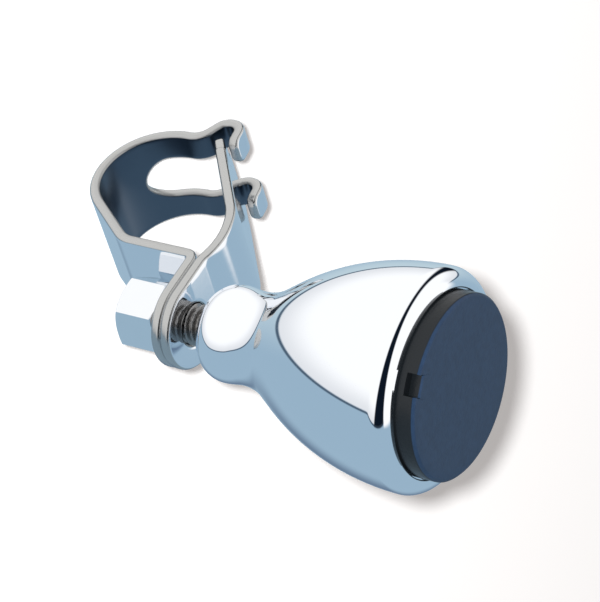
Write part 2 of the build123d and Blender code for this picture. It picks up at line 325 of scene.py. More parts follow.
def make_piece(name, grids, body, nodes, material, sharp=math.radians(35), marks=()):
    """A welded mesh with outward faces that rides on a body and stands for CAD nodes.

    Columns of the points after the third are kept as attributes, named by marks.
    """
    points, faces = gather(grids)
    mesh = bpy.data.meshes.new(name)
    mesh.from_pydata(points[:, :3].tolist(), [], faces.tolist())
    for column, mark in enumerate(marks, 3):
        mesh.attributes.new(mark, "FLOAT", "POINT").data.foreach_set("value", points[:, column].copy())
    work = bmesh.new()
    work.from_mesh(mesh)
    bmesh.ops.remove_doubles(work, verts=work.verts, dist=MERGE_DISTANCE)
    bmesh.ops.dissolve_degenerate(work, edges=work.edges, dist=SMALLEST_EDGE)
    bmesh.ops.recalc_face_normals(work, faces=work.faces)
    work.to_mesh(mesh)
    work.free()
    mesh.shade_smooth()
    mesh.set_sharp_from_angle(angle=sharp)
    piece = bpy.data.objects.new(name, mesh)
    bpy.context.scene.collection.objects.link(piece)
    mesh.materials.append(material)
    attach(piece, body)
    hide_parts(*nodes)
    return piece


def revolve(rows, angle):
    """Grid round the spindle from rows of (radius, height), which may vary with the angle."""
    radius = np.array([np.broadcast_to(r, angle.shape) for r, _ in rows])
    height = np.array([np.broadcast_to(z, angle.shape) for _, z in rows])
    return np.stack([radius * np.cos(angle), axis_y + radius * np.sin(angle), height], -1)


class Shading:
    """Shader nodes of a material, world or lamp, with short calls that add and join them."""

    def __init__(self, owner):
        owner.use_nodes = True
        self.owner = owner
        self.tree = owner.node_tree
        self.shader = self.tree.nodes.get("Principled BSDF")

    def set(self, entry, value):
        """Joins an input to another node's output, or sets it to a plain value; colours are opaque."""
        if isinstance(value, bpy.types.NodeSocket):
            self.tree.links.new(value, entry)
        else:
            entry.default_value = (*value, 1.0) if entry.type == "RGBA" else value

    def fill(self, node, *values, **named):
        """Sets a node's inputs, in order and by name."""
        for entry, value in zip(node.inputs, values):
            self.set(entry, value)
        for key, value in named.items():
            self.set(node.inputs[key.replace("_", " ")], value)
        return node

    def add(self, kind, *values, **named):
        """A new node with its inputs filled; names in lower case are its settings."""
        node = self.tree.nodes.new(kind)
        for key in [key for key in named if key.islower()]:
            setattr(node, key, named.pop(key))
        return self.fill(node, *values, **named)

    def mark(self, name):
        """The attribute of the given name."""
        return self.add("ShaderNodeAttribute", attribute_name=name).outputs["Fac"]

    def noise(self, scale, detail, stretch=(1.0, 1.0, 1.0)):
        """Noise on Object coordinates, which may be stretched along an axis."""
        place = self.add("ShaderNodeTexCoord").outputs["Object"]
        mapping = self.add("ShaderNodeMapping", place, Scale=stretch)
        noise = self.add("ShaderNodeTexNoise", mapping.outputs["Vector"], Scale=scale, Detail=detail)
        return noise.outputs["Fac"]

    def bump(self, source, height, strength):
        """Bump of the given height in metres."""
        bump = self.add("ShaderNodeBump", Strength=strength, Distance=height, Height=source)
        self.fill(self.shader, Normal=bump.outputs["Normal"])

    def ramp(self, source, low, high, low_value, high_value, **settings):
        """Maps one range to another."""
        node = self.add("ShaderNodeMapRange", source, low, high, low_value, high_value, **settings)
        return node.outputs["Result"]

    def mix(self, amount, under, over):
        """Lays one colour over another by an amount."""
        node = self.add("ShaderNodeMix", amount, data_type="RGBA")
        self.set(node.inputs[6], under)
        self.set(node.inputs[7], over)
        return node.outputs[2]

    def show(self, shader):
        """Sends a shader to the output."""
        output = next(node for node in self.tree.nodes if node.type.startswith("OUTPUT"))
        self.fill(output, shader.outputs[0])

    def seen_directly(self):
        """Is Camera Ray, Is Glossy Ray and Is Transmission Ray added up."""
        path = self.add("ShaderNodeLightPath")
        seen = path.outputs["Is Camera Ray"]
        for ray in ("Is Glossy Ray", "Is Transmission Ray"):
            seen = self.add("ShaderNodeMath", seen, path.outputs[ray], use_clamp=True).outputs[0]
        return seen


def new_material(name):
    """An empty material with its nodes."""
    return Shading(bpy.data.materials.new(name))


def chrome(name, colour, rough):
    """Polished plating: a mirror with faint buffing haze and a breath of ripple."""
    surface = new_material(name)
    spread = surface.ramp(surface.noise(260.0, 4.0), 0.35, 0.75, rough, rough * 2.2)
    surface.fill(surface.shader, Base_Color=colour, Metallic=1.0, Roughness=spread)
    surface.bump(surface.noise(90.0, 1.0), 0.00001, 0.10)
    return surface.owner


def steel(name, colour, rough):
    """Bare steel with fine grain and uneven oil."""
    surface = new_material(name)
    grain = surface.noise(1400.0, 5.0)
    tone = surface.mix(grain, [c * 0.72 for c in colour], colour)
    spread = surface.ramp(grain, 0.3, 0.7, rough * 0.8, rough * 1.3)
    surface.fill(surface.shader, Base_Color=tone, Metallic=1.0, Roughness=spread)
    surface.bump(grain, 0.00002, 0.25)
    return surface.owner


def plastic(name, colour, painted_side_shade, grain_size):
    """Moulded plastic with an even fine grain that softens its sheen, smoother at its side and darkened there
    with painted shade.
    """
    surface = new_material(name)
    side = surface.mark("side")
    patch = surface.ramp(surface.noise(900.0, 4.0), 0.3, 0.7, 0.0, 1.0)
    face = surface.mix(patch, [c * 0.88 for c in colour], [c * 1.12 for c in colour])
    # painted shade: the side mark lays the dark side colour over the face colour
    surface.fill(surface.shader, Specular_IOR_Level=0.26, Base_Color=surface.mix(side, face, painted_side_shade),
                 Roughness=surface.ramp(side, 0.0, 1.0, 0.45, 0.28))
    surface.bump(surface.noise(0.35 / grain_size, 2.0), grain_size * 0.2, 0.6)
    return surface.owner


def strap_metal(name, s):
    """Polished strip with satin cut edges and a rougher inside to its loop, darkened there with painted
    shade, told apart by two marks.
    """
    surface = new_material(name)
    edge, inside = [surface.mark(mark) for mark in STRAP_MARKS]
    # painted shade: the loop's inner face takes the dark blue inside colour in place of the chrome
    tone_with_painted_inside_shade = surface.mix(inside, s.chrome, s.inside)
    satin = surface.ramp(edge, 0.0, 1.0, 0.07, 0.24)
    haze = surface.ramp(inside, 0.0, 1.0, 0.0, 0.22)
    spread = surface.add("ShaderNodeMath", satin, haze, operation="ADD")
    surface.fill(surface.shader, Metallic=1.0, Base_Color=surface.mix(edge, tone_with_painted_inside_shade, s.sheared),
                 Roughness=spread.outputs[0])
    surface.bump(surface.noise(900.0, 3.0, (1.0, 1.0, 0.15)), 0.00001, 0.15)
    return surface.owner


def bell_curve(s, rim_radius):
    """Flare angle and crown radius: the arcs turn alike, so half the angle's tangent is width over height."""
    width = rim_radius - s.waist_radius
    height = s.rim_height - s.waist_height
    flare_angle = 2 * math.atan(width / (height + s.flank_run))
    crown_bend = (height - s.flank_run * math.cos(flare_angle)) / math.sin(flare_angle) - s.flare_radius
    return flare_angle, crown_bend


def shell_outline(s, low, rim_radius):
    """Outside of the bell from the nose face to the lip, as (radius, height) points.

    The nose is a round arc that stands upright at the bead. Bead, waist and flare are an
    easy S curve. A straight flank runs into a long arc that is upright at the widest ring,
    and the rim rolls over in a quarter ellipse.
    """
    inset = s.nose_radius - s.nose_face
    nose_bend = (inset**2 + s.nose_height**2) / (2 * inset)
    nose_centre = (s.nose_radius - nose_bend, s.nose_height)
    nose_end = -math.asin(s.nose_height / nose_bend)
    nose = arc(nose_centre, (nose_bend, nose_bend), nose_end, 0.0, 28)
    flare_angle, crown_bend = bell_curve(s, rim_radius)
    sine, cosine = math.sin(flare_angle), math.cos(flare_angle)
    waist = np.array([s.waist_radius, s.waist_height])
    flank_start = waist + s.flare_radius * np.array([1 - cosine, sine])
    bead_rise = (s.waist_height - s.nose_height) / 3
    flare_rise = s.flare_radius * math.tan(flare_angle / 4) * 4 / 3
    bead = bezier(nose[-1], nose[-1] + (0, bead_rise), waist - (0, bead_rise), waist, 14)
    flare = bezier(waist, waist + (0, flare_rise), flank_start - (flare_rise * sine, flare_rise * cosine),
                   flank_start, 24)
    flank_end = flank_start + s.flank_run * np.array([sine, cosine])
    flank = line(flank_start, flank_end, 4)
    crown = arc((rim_radius - crown_bend, s.rim_height), (crown_bend, crown_bend), -flare_angle, 0.0, 70)
    rim = arc((rim_radius - s.rim_width, s.rim_height), (s.rim_width, s.rim_roll), 0.0, math.pi / 2, 40)
    return chain(nose, bead, flare, flank, crown, rim) + (0, low)


class KNOB_OT_shell(bpy.types.Operator):
    """Make the chromed bell with its hub and webs"""

    bl_idname = "knob.shell"
    bl_label = "Chromed bell"

    def execute(self, context):
        s = context.scene.knob_shell
        low = shell_low.z
        rim_radius = (shell_high.x - shell_low.x) / 2
        outside = shell_outline(s, low, rim_radius)
        recess = rim_radius - s.rim_width
        lip = shell_high.z
        seat = lip - s.seat_depth
        inner = recess - s.seat_width
        hub_top = seat - s.hub_depth
        crown_bend = bell_curve(s, rim_radius)[1]
        inset = s.rim_width + s.seat_width - s.crown_wall
        corner = low + s.rim_height - math.sqrt(inset * (2 * crown_bend - inset))
        lip_arc = arc((recess + s.lip_round, lip - s.lip_round), (s.lip_round, s.lip_round),
                      math.pi / 2, math.pi, 7)
        rolled = (outside[:, 1] > low + s.rim_height) & (outside[:, 0] < recess + s.lip_round)
        outside = outside[~rolled]
        inside = [(recess, seat), (inner, seat), (inner, corner),
                  (s.floor_radius, low + s.floor_height), (s.hub_radius, low + s.floor_height),
                  (s.hub_radius, hub_top), (s.bore_radius, hub_top), (s.bore_radius, low + s.nose_lip),
                  (s.mouth_radius, low + s.nose_lip), (s.mouth_radius, low)]
        grid = revolve(chain(outside, lip_arc, np.array(inside)), round_angles(SHELL_SIDES))
        metal = chrome("shell_chrome", s.chrome, 0.022)
        make_piece("knob_bell", [woven(grid, wrap_rows=True)], "knob", ["knob_shell"], metal)
        webs = [self.web(s, low, hub_top, inner, corner, s.web_angle + FULL_TURN * i / s.web_count)
                for i in range(s.web_count)]
        make_piece("hub_webs", webs, "knob", ["knob_shell"], metal)
        return {"FINISHED"}

    def web(self, s, low, hub_top, inner, corner, angle):
        """One web: its outline in the plane through the spindle, at both faces of its thickness."""
        sunk = s.web_thickness / 4
        floor = low + s.floor_height - sunk
        top = hub_top - s.web_drop
        outline = np.array([(s.hub_radius - sunk, floor), (s.floor_radius + sunk, floor),
                            (inner + sunk, corner), (inner + sunk, top), (s.hub_radius - sunk, top)])
        out = np.array([math.cos(angle), math.sin(angle)])
        across = np.array([-out[1], out[0]]) * s.web_thickness / 2
        centre = outline.mean(0)
        rings = np.stack([centre + (outline - centre) * k for k in (0.0, 1.0, 1.0, 0.0)])
        side = np.array([-1.0, -1.0, 1.0, 1.0])[:, None]
        x = rings[..., 0] * out[0] + side * across[0]
        y = rings[..., 0] * out[1] + side * across[1] + axis_y
        return woven(np.stack([x, y, rings[..., 1]], -1))


class KNOB_OT_cap(bpy.types.Operator):
    """Make the snap-in cap with its skirt and pry notch"""

    bl_idname = "knob.cap"
    bl_label = "Cap"

    def execute(self, context):
        s = context.scene.knob_cap
        radius = (cap_high.x - cap_low.x) / 2
        seat = cap_high.z - s.height
        shell = context.scene.knob_shell
        skirt = (shell_high.x - shell_low.x) / 2 - shell.rim_width - shell.seat_width - s.fit
        half = math.asin(s.notch_width / 2 / radius)
        rim = arc((0, 0), (radius, radius), s.notch_angle + half, s.notch_angle + FULL_TURN - half,
                  RIM_POINTS)
        out = heading(s.notch_angle)
        across = np.array([-out[1], out[0]]) * s.notch_width / 2
        deep = out * (radius - s.notch_depth)
        outline = chain(rim, line(rim[-1], deep - across, 5), line(deep - across, deep + across, 5),
                        line(deep + across, rim[0], 5)[:-1])
        last = RIM_POINTS - 1
        stops = [0, last, last + 4, last + 8, last + 12]
        # angles of the inner circles' points, where those of the notch take a slightly wider arc
        wide, narrow = 1.35 * half, 1.25 * half
        turns = [wide, FULL_TURN - wide, FULL_TURN - narrow, FULL_TURN + narrow, FULL_TURN + wide]
        spread = np.interp(np.arange(len(outline)), stops, turns) + s.notch_angle
        inward = np.stack([np.cos(spread), np.sin(spread)], 1)
        reach = np.linalg.norm(outline, axis=1)[:, None]
        direction = outline / reach
        on_rim = (np.arange(len(outline)) < RIM_POINTS)[:, None]
        bend = s.edge * 0.35
        top = cap_high.z
        inner = radius - s.notch_depth - 2 * s.edge
        rows = [(inward * inner * k, top) for k in (0.0, 0.5, 1.0)]
        edge = [(s.edge + bend, 0.0), (s.edge, bend * 0.12), (s.edge - bend * 0.7, bend * 0.7),
                (bend * 0.7, s.edge - bend * 0.7), (bend * 0.12, s.edge), (0.0, s.edge + bend)]
        rows += [(direction * (reach - inset * on_rim), top - drop) for inset, drop in edge]
        face_rows = len(rows) - 2
        full = outline / reach * radius
        rows += [(outline, top - s.notch_drop), (full, top - s.notch_drop), (full, seat)]
        tail = [(skirt, seat), (skirt, seat - s.skirt_length), (skirt - s.skirt_wall, seat - s.skirt_length),
                (skirt - s.skirt_wall, top - s.wall), (0.0, top - s.wall)]
        rows += [(inward * np.minimum(reach, r), z) for r, z in tail]
        ones = np.ones_like(reach)
        # the last column marks the side, where the plastic takes its painted shade
        grid = np.stack([np.concatenate([flat, ones * z, ones * (row >= face_rows)], 1)
                         for row, (flat, z) in enumerate(rows)])
        grid[..., 1] += axis_y
        finish = plastic("cap_plastic", s.plastic, s.side, s.grain)
        make_piece("cap_disc", [woven(grid)], "cap", ["knob_cap"], finish, marks=("side",))
        return {"FINISHED"}


def hexagon_radius(angle, flats):
    """Distance from a hexagon's centre to its side at an angle: half the flats over a cosine."""
    return flats / 2 / np.cos(np.mod(angle, math.pi / 3) - math.pi / 6)


class KNOB_OT_spindle(bpy.types.Operator):
    """Make the shoulder screw with its thread and socket"""

    bl_idname = "knob.spindle"
    bl_label = "Spindle"

    def execute(self, context):
        s = context.scene.knob_fasteners
        low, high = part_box("spindle_bolt")
        shoulder = shell_low.z + context.scene.knob_shell.nose_lip + s.end_float
        head = high.z - s.head_height
        angle = round_angles(SPINDLE_SIDES)
        height = np.linspace(low.z, shoulder, THREAD_ROWS)[:, None]
        lead = np.clip((height - low.z) / s.thread_pitch, 0.0, 1.0)
        thread = self.thread(s, angle, height) * lead + (s.thread_radius - s.thread_depth) * (1 - lead)
        socket = hexagon_radius(angle, s.socket_flats)
        rows = [(0.0, low.z), *zip(thread, height[:, 0]),
                (s.shoulder_radius, shoulder), (s.shoulder_radius, head),
                (s.head_radius, head), (s.head_radius, high.z - s.head_height / 10),
                (s.head_radius * 0.93, high.z), (socket * 1.08, high.z),
                (socket, high.z - s.head_height / 20), (socket, high.z - s.socket_depth),
                (0.0, high.z - s.socket_depth * 1.2)]
        metal = steel("screw_steel", s.steel, 0.30)
        make_piece("spindle_screw", [woven(revolve(rows, angle))], "latch", ["spindle_bolt"],
                   metal)
        return {"FINISHED"}

    def thread(self, s, angle, height):
        """Radius of the thread: a wave with flat crests and roots that climbs one pitch a turn."""
        phase = np.mod(height / s.thread_pitch - angle / FULL_TURN, 1.0)
        wave = np.abs(phase - 0.5) * 2
        crest, flank, softness = 0.12, 0.70, 0.35
        flat = np.clip((wave - crest) / flank, 0.0, 1.0)
        rounded = flat * flat * (3 - 2 * flat) * softness + flat * (1 - softness)
        return s.thread_radius - s.thread_depth * rounded


class KNOB_OT_nut(bpy.types.Operator):
    """Make the hexagon nut with turned corners"""

    bl_idname = "knob.nut"
    bl_label = "Nut"

    def execute(self, context):
        s = context.scene.knob_fasteners
        low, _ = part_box("clamp_nut")
        angle = round_angles(NUT_SIDES)
        side = hexagon_radius(angle - s.nut_angle, s.nut_flats)
        flat = s.nut_flats / 2
        rise = (side - flat) * math.tan(s.nut_chamfer)
        bore = s.thread_radius + s.thread_clearance
        blunt = s.nut_flats / 60
        lower = [(bore, blunt), (bore + blunt, 0.0), (flat * 0.72, 0.0), (flat - 2 * blunt, 0.0),
                 (flat - blunt, blunt * 0.15), (side - blunt * 0.8, rise),
                 (side - blunt * 0.2, rise + blunt * 0.6), (side, rise + 1.4 * blunt)]
        rows = lower + [(r, s.nut_height - z) for r, z in reversed(lower)]
        grid = revolve([(r, low.z + z) for r, z in rows], angle)
        metal = chrome("nut_chrome", s.chrome, 0.07)
        make_piece("hexagon_nut", [woven(grid, wrap_rows=True)], "nut", ["clamp_nut"], metal,
                   math.radians(25))
        return {"FINISHED"}


class MiddleLine:
    """The strip's middle line in the side view, laid as runs and bends and read by its length."""

    def __init__(self, start, angle, steps, spacing=0.00025):
        points, turns = [np.array(start, float)], [angle]
        for run, radius, bend in steps:
            here, facing = points[-1], turns[-1]
            if run > 0:
                count = max(int(run / spacing), 2)
                reach = np.linspace(0.0, run, count + 1)[1:, None]
                points.extend(here + reach * heading(facing))
                turns.extend([facing] * count)
                here = points[-1]
            if bend:
                count = max(int(abs(bend) * radius / spacing), 8)
                swept = np.linspace(0.0, bend, count + 1)[1:]
                side = math.copysign(1.0, bend)
                centre = here + side * radius * heading(facing + math.pi / 2)
                out = facing + swept - side * math.pi / 2
                points.extend(centre + radius * np.stack([np.cos(out), np.sin(out)], 1))
                turns.extend(facing + swept)
        self.points = np.array(points)
        self.turns = np.array(turns)
        gaps = np.linalg.norm(np.diff(self.points, axis=0), axis=1)
        self.lengths = np.concatenate([[0.0], np.cumsum(gaps)])
        self.total = self.lengths[-1]

    def bend_sheet(self, along, across, lift):
        """Places flat points: along the line, across it in X, and lifted along its left normal."""
        y = np.interp(along, self.lengths, self.points[:, 0])
        z = np.interp(along, self.lengths, self.points[:, 1])
        facing = np.interp(along, self.lengths, self.turns)
        past = along - np.clip(along, 0.0, self.total)
        y = y + past * np.cos(facing) - lift * np.sin(facing)
        z = z + past * np.sin(facing) + lift * np.cos(facing)
        return np.stack([across, y, z], -1)


def edge_profile(half, rounding, steps=7):
    """Edge of a plate from its upper face to its lower one, as (inset, lift): two quarter rounds."""
    angle = np.linspace(0.0, math.pi / 2, steps)
    inset = rounding * (1 - np.sin(angle))
    lift = half - rounding + rounding * np.cos(angle)
    return np.concatenate([inset, inset[::-1]]), np.concatenate([lift, -lift[::-1]])


def outward_normals(outline, side):
    """Unit normals of an outline of (along, across) points, to the left for side 1."""
    step = np.gradient(outline, axis=0)
    step /= np.linalg.norm(step, axis=1)[:, None] + 1e-12
    return side * np.stack([-step[:, 1], step[:, 0]], 1)


def plate(s, outer, inner, outer_out, inner_out=None, close_end=False):
    """One band of a plate between an outer and an inner outline, as a closed or open tube.

    Each row is a loop: the upper face from the inner outline to the outer one, the rounded
    outer edge, the lower face back, and the rounded inner edge where there is one. A point
    is (along, across, lift, cut), and cut marks the rounded edges.
    """
    half = s.thickness / 2
    inset, lift = edge_profile(half, s.edge_round)

    def marked(flat, up):
        """Flat points with their lift and their mark."""
        return np.concatenate([flat, up, np.abs(up) < half - s.edge_round / 8], -1)

    outer_edge = outer[:, None, :] - inset[None, :, None] * outer_out[:, None, :]
    if inner_out is None:
        inner_edge = np.repeat(inner[:, None, :], len(inset), axis=1)
    else:
        inner_edge = inner[:, None, :] - inset[None, :, None] * inner_out[:, None, :]
    shares = np.linspace(0.0, 1.0, PLATE_COLUMNS + 1)
    share_across = shares[1:-1][None, :, None]
    upper = inner_edge[:, :1] * (1 - share_across) + outer_edge[:, :1] * share_across
    lower = outer_edge[:, -1:] * (1 - share_across) + inner_edge[:, -1:] * share_across
    flat_lift = np.full((len(outer), PLATE_COLUMNS - 1), half)
    edge_lift = np.broadcast_to(lift, (len(outer), len(lift)))
    if inner_out is None:
        loop = [inner_edge[:, :1], upper, outer_edge, lower, inner_edge[:, -1:]]
        lifts = [edge_lift[:, :1], flat_lift, edge_lift, -flat_lift, edge_lift[:, -1:]]
    else:
        loop = [upper, outer_edge, lower, inner_edge[:, ::-1]]
        lifts = [flat_lift, edge_lift, -flat_lift, edge_lift[:, ::-1]]
    band = marked(np.concatenate(loop, axis=1), np.concatenate(lifts, axis=1)[..., None])
    grids = [woven(band, wrap_columns=inner_out is not None)]
    if close_end:
        share_end = shares[:, None, None]
        end = inner_edge[-1][None] * (1 - share_end) + outer_edge[-1][None] * share_end
        grids.append(woven(marked(end, np.broadcast_to(lift[None, :, None], (*end.shape[:2], 1))),
                           wrap_columns=False))
    return grids


def mirrored(grids):
    """The same grids on both sides of the strip's middle."""
    return grids + [(grid * (1.0, -1.0, 1.0, 1.0), faces) for grid, faces in grids]


def bent(middle, grids, inside_from):
    """Flat grids of (along, across, lift, cut) bent onto a middle line, with marks for cut and inside."""
    placed = []
    for grid, faces in grids:
        inside = (grid[..., 2:3] > 0) & (grid[..., 0:1] > inside_from)
        sheet = middle.bend_sheet(grid[..., 0], grid[..., 1], grid[..., 2])
        placed.append((np.concatenate([sheet, grid[..., 3:], inside], -1), faces))
    return placed


def between_rows(points, position):
    """Reads a list of points at fractional row numbers."""
    rows = np.arange(len(points))
    return np.stack([np.interp(position, rows, column) for column in points.T], 1)


class KNOB_OT_straps(bpy.types.Operator):
    """Make the two bent straps of the clamp"""

    bl_idname = "knob.straps"
    bl_label = "Clamp straps"

    def execute(self, context):
        s = context.scene.knob_straps
        thread_radius = context.scene.knob_fasteners.thread_radius
        metal = strap_metal("strap_chrome", s)
        make_piece("loop_band", self.loop_grids(s, thread_radius + s.bolt_clearance), "clamp", ["loop_strap"],
                   metal, math.radians(30), STRAP_MARKS)
        make_piece("latch_band", self.latch_grids(s, thread_radius), "latch", ["latch_strap"],
                   metal, math.radians(30), STRAP_MARKS)
        return {"FINISHED"}

    def hook_steps(self, s):
        """Runs and bends of a hook, from the loop's end to the tip."""
        half = s.thickness / 2
        return [(0, s.rise_bend + half, -s.rise_angle), (s.rise_run, s.curl + half, s.curl_angle),
                (s.tip_run, 0, 0)]

    def loop_line(self, s):
        """Middle line of the loop strap from the flange's end to the hooks' tips, and the loop's start."""
        half = s.thickness / 2
        ring = s.loop_radius + half
        lean = math.pi - s.loop_arc
        run_y = -(s.run_depth + half)
        drop = -run_y - ring * math.cos(lean) - s.run_ease * (1 - math.cos(lean))
        slope = drop / math.sin(lean)
        foot = -ring * np.array([math.cos(lean), math.sin(lean)])
        eased = foot[1] + slope * math.cos(lean) + s.run_ease * math.sin(lean)
        bend = s.flange_bend + half
        flange_z = s.flange_face - half
        rise = flange_z - bend - eased
        flange_run = run_y - bend - axis_y + s.flange_end
        steps = [(flange_run, bend, -math.pi / 2), (rise, s.run_ease, lean), (slope, ring, s.loop_arc)]
        middle = MiddleLine((axis_y - s.flange_end, flange_z), 0.0, steps + self.hook_steps(s))
        hooks = flange_run + bend * math.pi / 2 + rise + s.run_ease * lean + slope + ring * s.loop_arc
        return middle, hooks

    def tip_corner(self, s):
        """Inner corner of a hook's tip in the side view."""
        half = s.thickness / 2
        hook = MiddleLine((s.loop_radius + half, 0.0), math.pi / 2, self.hook_steps(s))
        return hook.points[-1] + half * heading(hook.turns[-1] + math.pi / 2)

    def latch_line(self, s):
        """Middle line of the latch strap; its straight part passes just inside the hooks."""
        half = s.thickness / 2
        corner = self.tip_corner(s)
        normal = heading(math.pi / 2 - s.lean_angle)
        reach = normal @ corner - s.hook_clearance - half
        start = np.array([axis_y - s.flange_end, s.flange_face + half])
        flat_run = -s.kick_start - start[0]
        kick = s.kick_radius + half
        kicked = start + (flat_run, 0) + kick * np.array([math.sin(s.kick_angle), 1 - math.cos(s.kick_angle)])
        arch = s.arch_radius + half
        arch_step = arch * np.array([math.sin(s.kick_angle) + math.sin(s.lean_angle),
                                     math.cos(s.lean_angle) - math.cos(s.kick_angle)])
        kick_run = (reach - normal @ (kicked + arch_step)) / math.sin(s.kick_angle + s.lean_angle)
        arch_end = kicked + heading(s.kick_angle) * kick_run + arch_step
        last_run = heading(-s.lean_angle) @ (corner - arch_end) + s.ear_reach + s.tongue_reach
        steps = [(flat_run, kick, s.kick_angle), (kick_run, arch, -s.kick_angle - s.lean_angle),
                 (last_run, 0, 0)]
        return MiddleLine(start, 0.0, steps)

    def taper_touch(self, s):
        """Where the tangent from the full band's corner meets the flange's circle, as (across, y)."""
        full = s.width / 2
        gap = -s.taper_start - axis_y
        distance = math.hypot(full, gap)
        facing = math.atan2(-gap, -full) + math.asin(s.flange_end / distance)
        run = math.sqrt(distance**2 - s.flange_end**2)
        return np.array([full, -s.taper_start]) + run * heading(facing)

    def flange_outline(self, s, middle, end_length):
        """Outer outline from the flange's tip: a round end, the taper and the full band."""
        touch = self.taper_touch(s)
        stop = math.atan2(touch[0], touch[1] - axis_y)
        end = arc((s.flange_end, 0.0), (s.flange_end, s.flange_end), math.pi, stop, 40)
        along = np.linspace(end[-1, 0] + 0.0002, end_length, int(end_length / BAND_STEP))
        y = np.interp(along, middle.lengths, middle.points[:, 0])
        across = np.interp(y, [touch[1], -s.taper_start], [touch[0], s.width / 2])
        return np.concatenate([end, np.stack([along, across], 1)])

    def loop_grids(self, s, hole):
        """The loop strap's flange with its hole, its band and its two forked hooks."""
        middle, hooks = self.loop_line(s)
        ring = s.loop_radius + s.thickness / 2
        slot_half = s.slot_width / 2
        slot_start = hooks - ring * s.slot_angle
        swell = np.linspace(0.0, math.pi / 2, 24)
        z = slot_half * (1 - np.cos(swell)) - ring * math.sin(s.slot_angle)
        slot_end = np.stack([hooks + ring * np.arcsin(z / ring), slot_half * np.sin(swell)], 1)
        outline = self.flange_outline(s, middle, slot_start)
        centre = np.minimum(outline[:, 0], slot_start - s.edge_round)
        grids = self.flange_with_hole(s, outline, centre, hole, s.swing_allowance)
        tail_along = np.linspace(slot_end[-1, 0], middle.total - s.tip_corner, 90)[1:]
        corner = np.linspace(0.0, math.pi / 2, 12)[1:]
        corner_in = s.tip_corner * (1 - np.cos(corner))
        corner_along = middle.total - s.tip_corner * (1 - np.sin(corner))
        along = np.concatenate([slot_end[:, 0], tail_along, corner_along])
        inner_across = np.concatenate([slot_end[:, 1], np.full(len(tail_along), slot_half),
                                       slot_half + corner_in])
        outer_across = np.full(len(along), s.width / 2)
        outer_across[-len(corner):] -= corner_in
        outer = np.stack([along, outer_across], 1)
        inner = np.stack([along, inner_across], 1)
        outer_out = outward_normals(outer, 1)
        inner_out = outward_normals(inner, -1)
        outer_out[-1] = inner_out[-1] = inner_out[0] = (1.0, 0.0)
        grids += plate(s, outer, inner, outer_out, inner_out, close_end=True)
        return bent(middle, mirrored(grids), 2 * s.flange_end)

    def flange_with_hole(self, s, outline, centre, hole, stretch):
        """Half of the flange and band, split where the hole starts and ends.

        The centre gives how far along each row meets the strip's middle.
        """
        centre = np.stack([np.maximum(centre, s.edge_round), np.zeros(len(centre))], 1)
        out = outward_normals(outline, 1)
        out[0] = (-1.0, 0.0)
        low = s.flange_end - hole - s.edge_round
        high = s.flange_end + stretch + hole + s.edge_round
        angle = np.linspace(math.pi, 0.0, 61)
        ring_out = -np.stack([np.cos(angle), np.sin(angle)], 1)
        ring = -hole * ring_out
        ring[:, 0] += s.flange_end + np.where(angle < math.pi / 2, stretch, 0.0)
        first = np.flatnonzero(outline[:, 0] > low)[0]
        last = np.flatnonzero(outline[:, 0] >= high)[0]
        position = np.linspace(first, last, len(ring))
        beside = between_rows(outline, position)
        beside_out = between_rows(out, position)
        beside_out /= np.linalg.norm(beside_out, axis=1)[:, None]
        grids = plate(s, np.concatenate([outline[:first], beside[:1]]),
                      np.concatenate([centre[:first], [(low, 0.0)]]),
                      np.concatenate([out[:first], beside_out[:1]]))
        grids += plate(s, beside, ring, beside_out, ring_out)
        grids += plate(s, np.concatenate([beside[-1:], outline[last + 1:]]),
                       np.concatenate([[(high, 0.0)], centre[last + 1:]]),
                       np.concatenate([beside_out[-1:], out[last + 1:]]))
        return grids

    def latch_grids(self, s, hole):
        """The latch strap's flange with its tapped hole, its band, ears and tongue."""
        middle = self.latch_line(s)
        end = middle.total
        tongue_start = end - s.tongue_reach
        shoulder = tongue_start - s.ear_reach - s.shoulder_offset
        step = s.ear_inset
        outline = self.flange_outline(s, middle, shoulder - step)
        ear = s.width / 2 - step
        turned = s.ear_corner
        tongue = s.tongue_width / 2
        corner = np.linspace(0.0, math.pi / 2, 10)
        rounded = np.stack([end - s.tongue_corner * (1 - np.sin(corner)),
                            tongue - s.tongue_corner * (1 - np.cos(corner))], 1)
        ends = chain(arc((shoulder - step, ear), (step, step), math.pi / 2, 0.0, 8),
                     line((shoulder, ear), (tongue_start - turned, ear), 10),
                     arc((tongue_start - turned, ear - turned), (turned, turned), math.pi / 2, 0.0, 10),
                     line((tongue_start, ear - turned), (tongue_start, tongue), 12),
                     line((tongue_start, tongue), rounded[0], 8), rounded, line(rounded[-1], (end, 0.0), 6))
        outline = np.concatenate([outline, ends])
        spread = np.linspace(shoulder - step, end, len(ends))
        centre = np.concatenate([outline[: len(outline) - len(ends), 0], spread])
        # the middle stays clear of the tongue's rounded end
        centre = np.minimum(centre, end - 1.4 * s.edge_round)
        grids = self.flange_with_hole(s, outline, centre, hole, 0.0)
        return bent(middle, mirrored(grids), 2 * middle.total)


class KNOB_OT_inner_parts(bpy.types.Operator):
    """Finish the washers and bushings that keep their solids"""

    bl_idname = "knob.inner_parts"
    bl_label = "Washers and bushings"

    def execute(self, context):
        s = context.scene.knob_fasteners
        spring = steel("spring_steel", [c * 1.15 for c in s.steel], 0.26)
        bronze = steel("bushing_bronze", (0.62, 0.44, 0.24), 0.42)
        finishes = {"lock_washer": spring, "thrust_washer": spring, "spring_washer": spring,
                    "front_bushing": bronze, "rear_bushing": bronze}
        for node, finish in finishes.items():
            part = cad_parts[node]
            part.data.materials.clear()
            part.data.materials.append(finish)
        return {"FINISHED"}


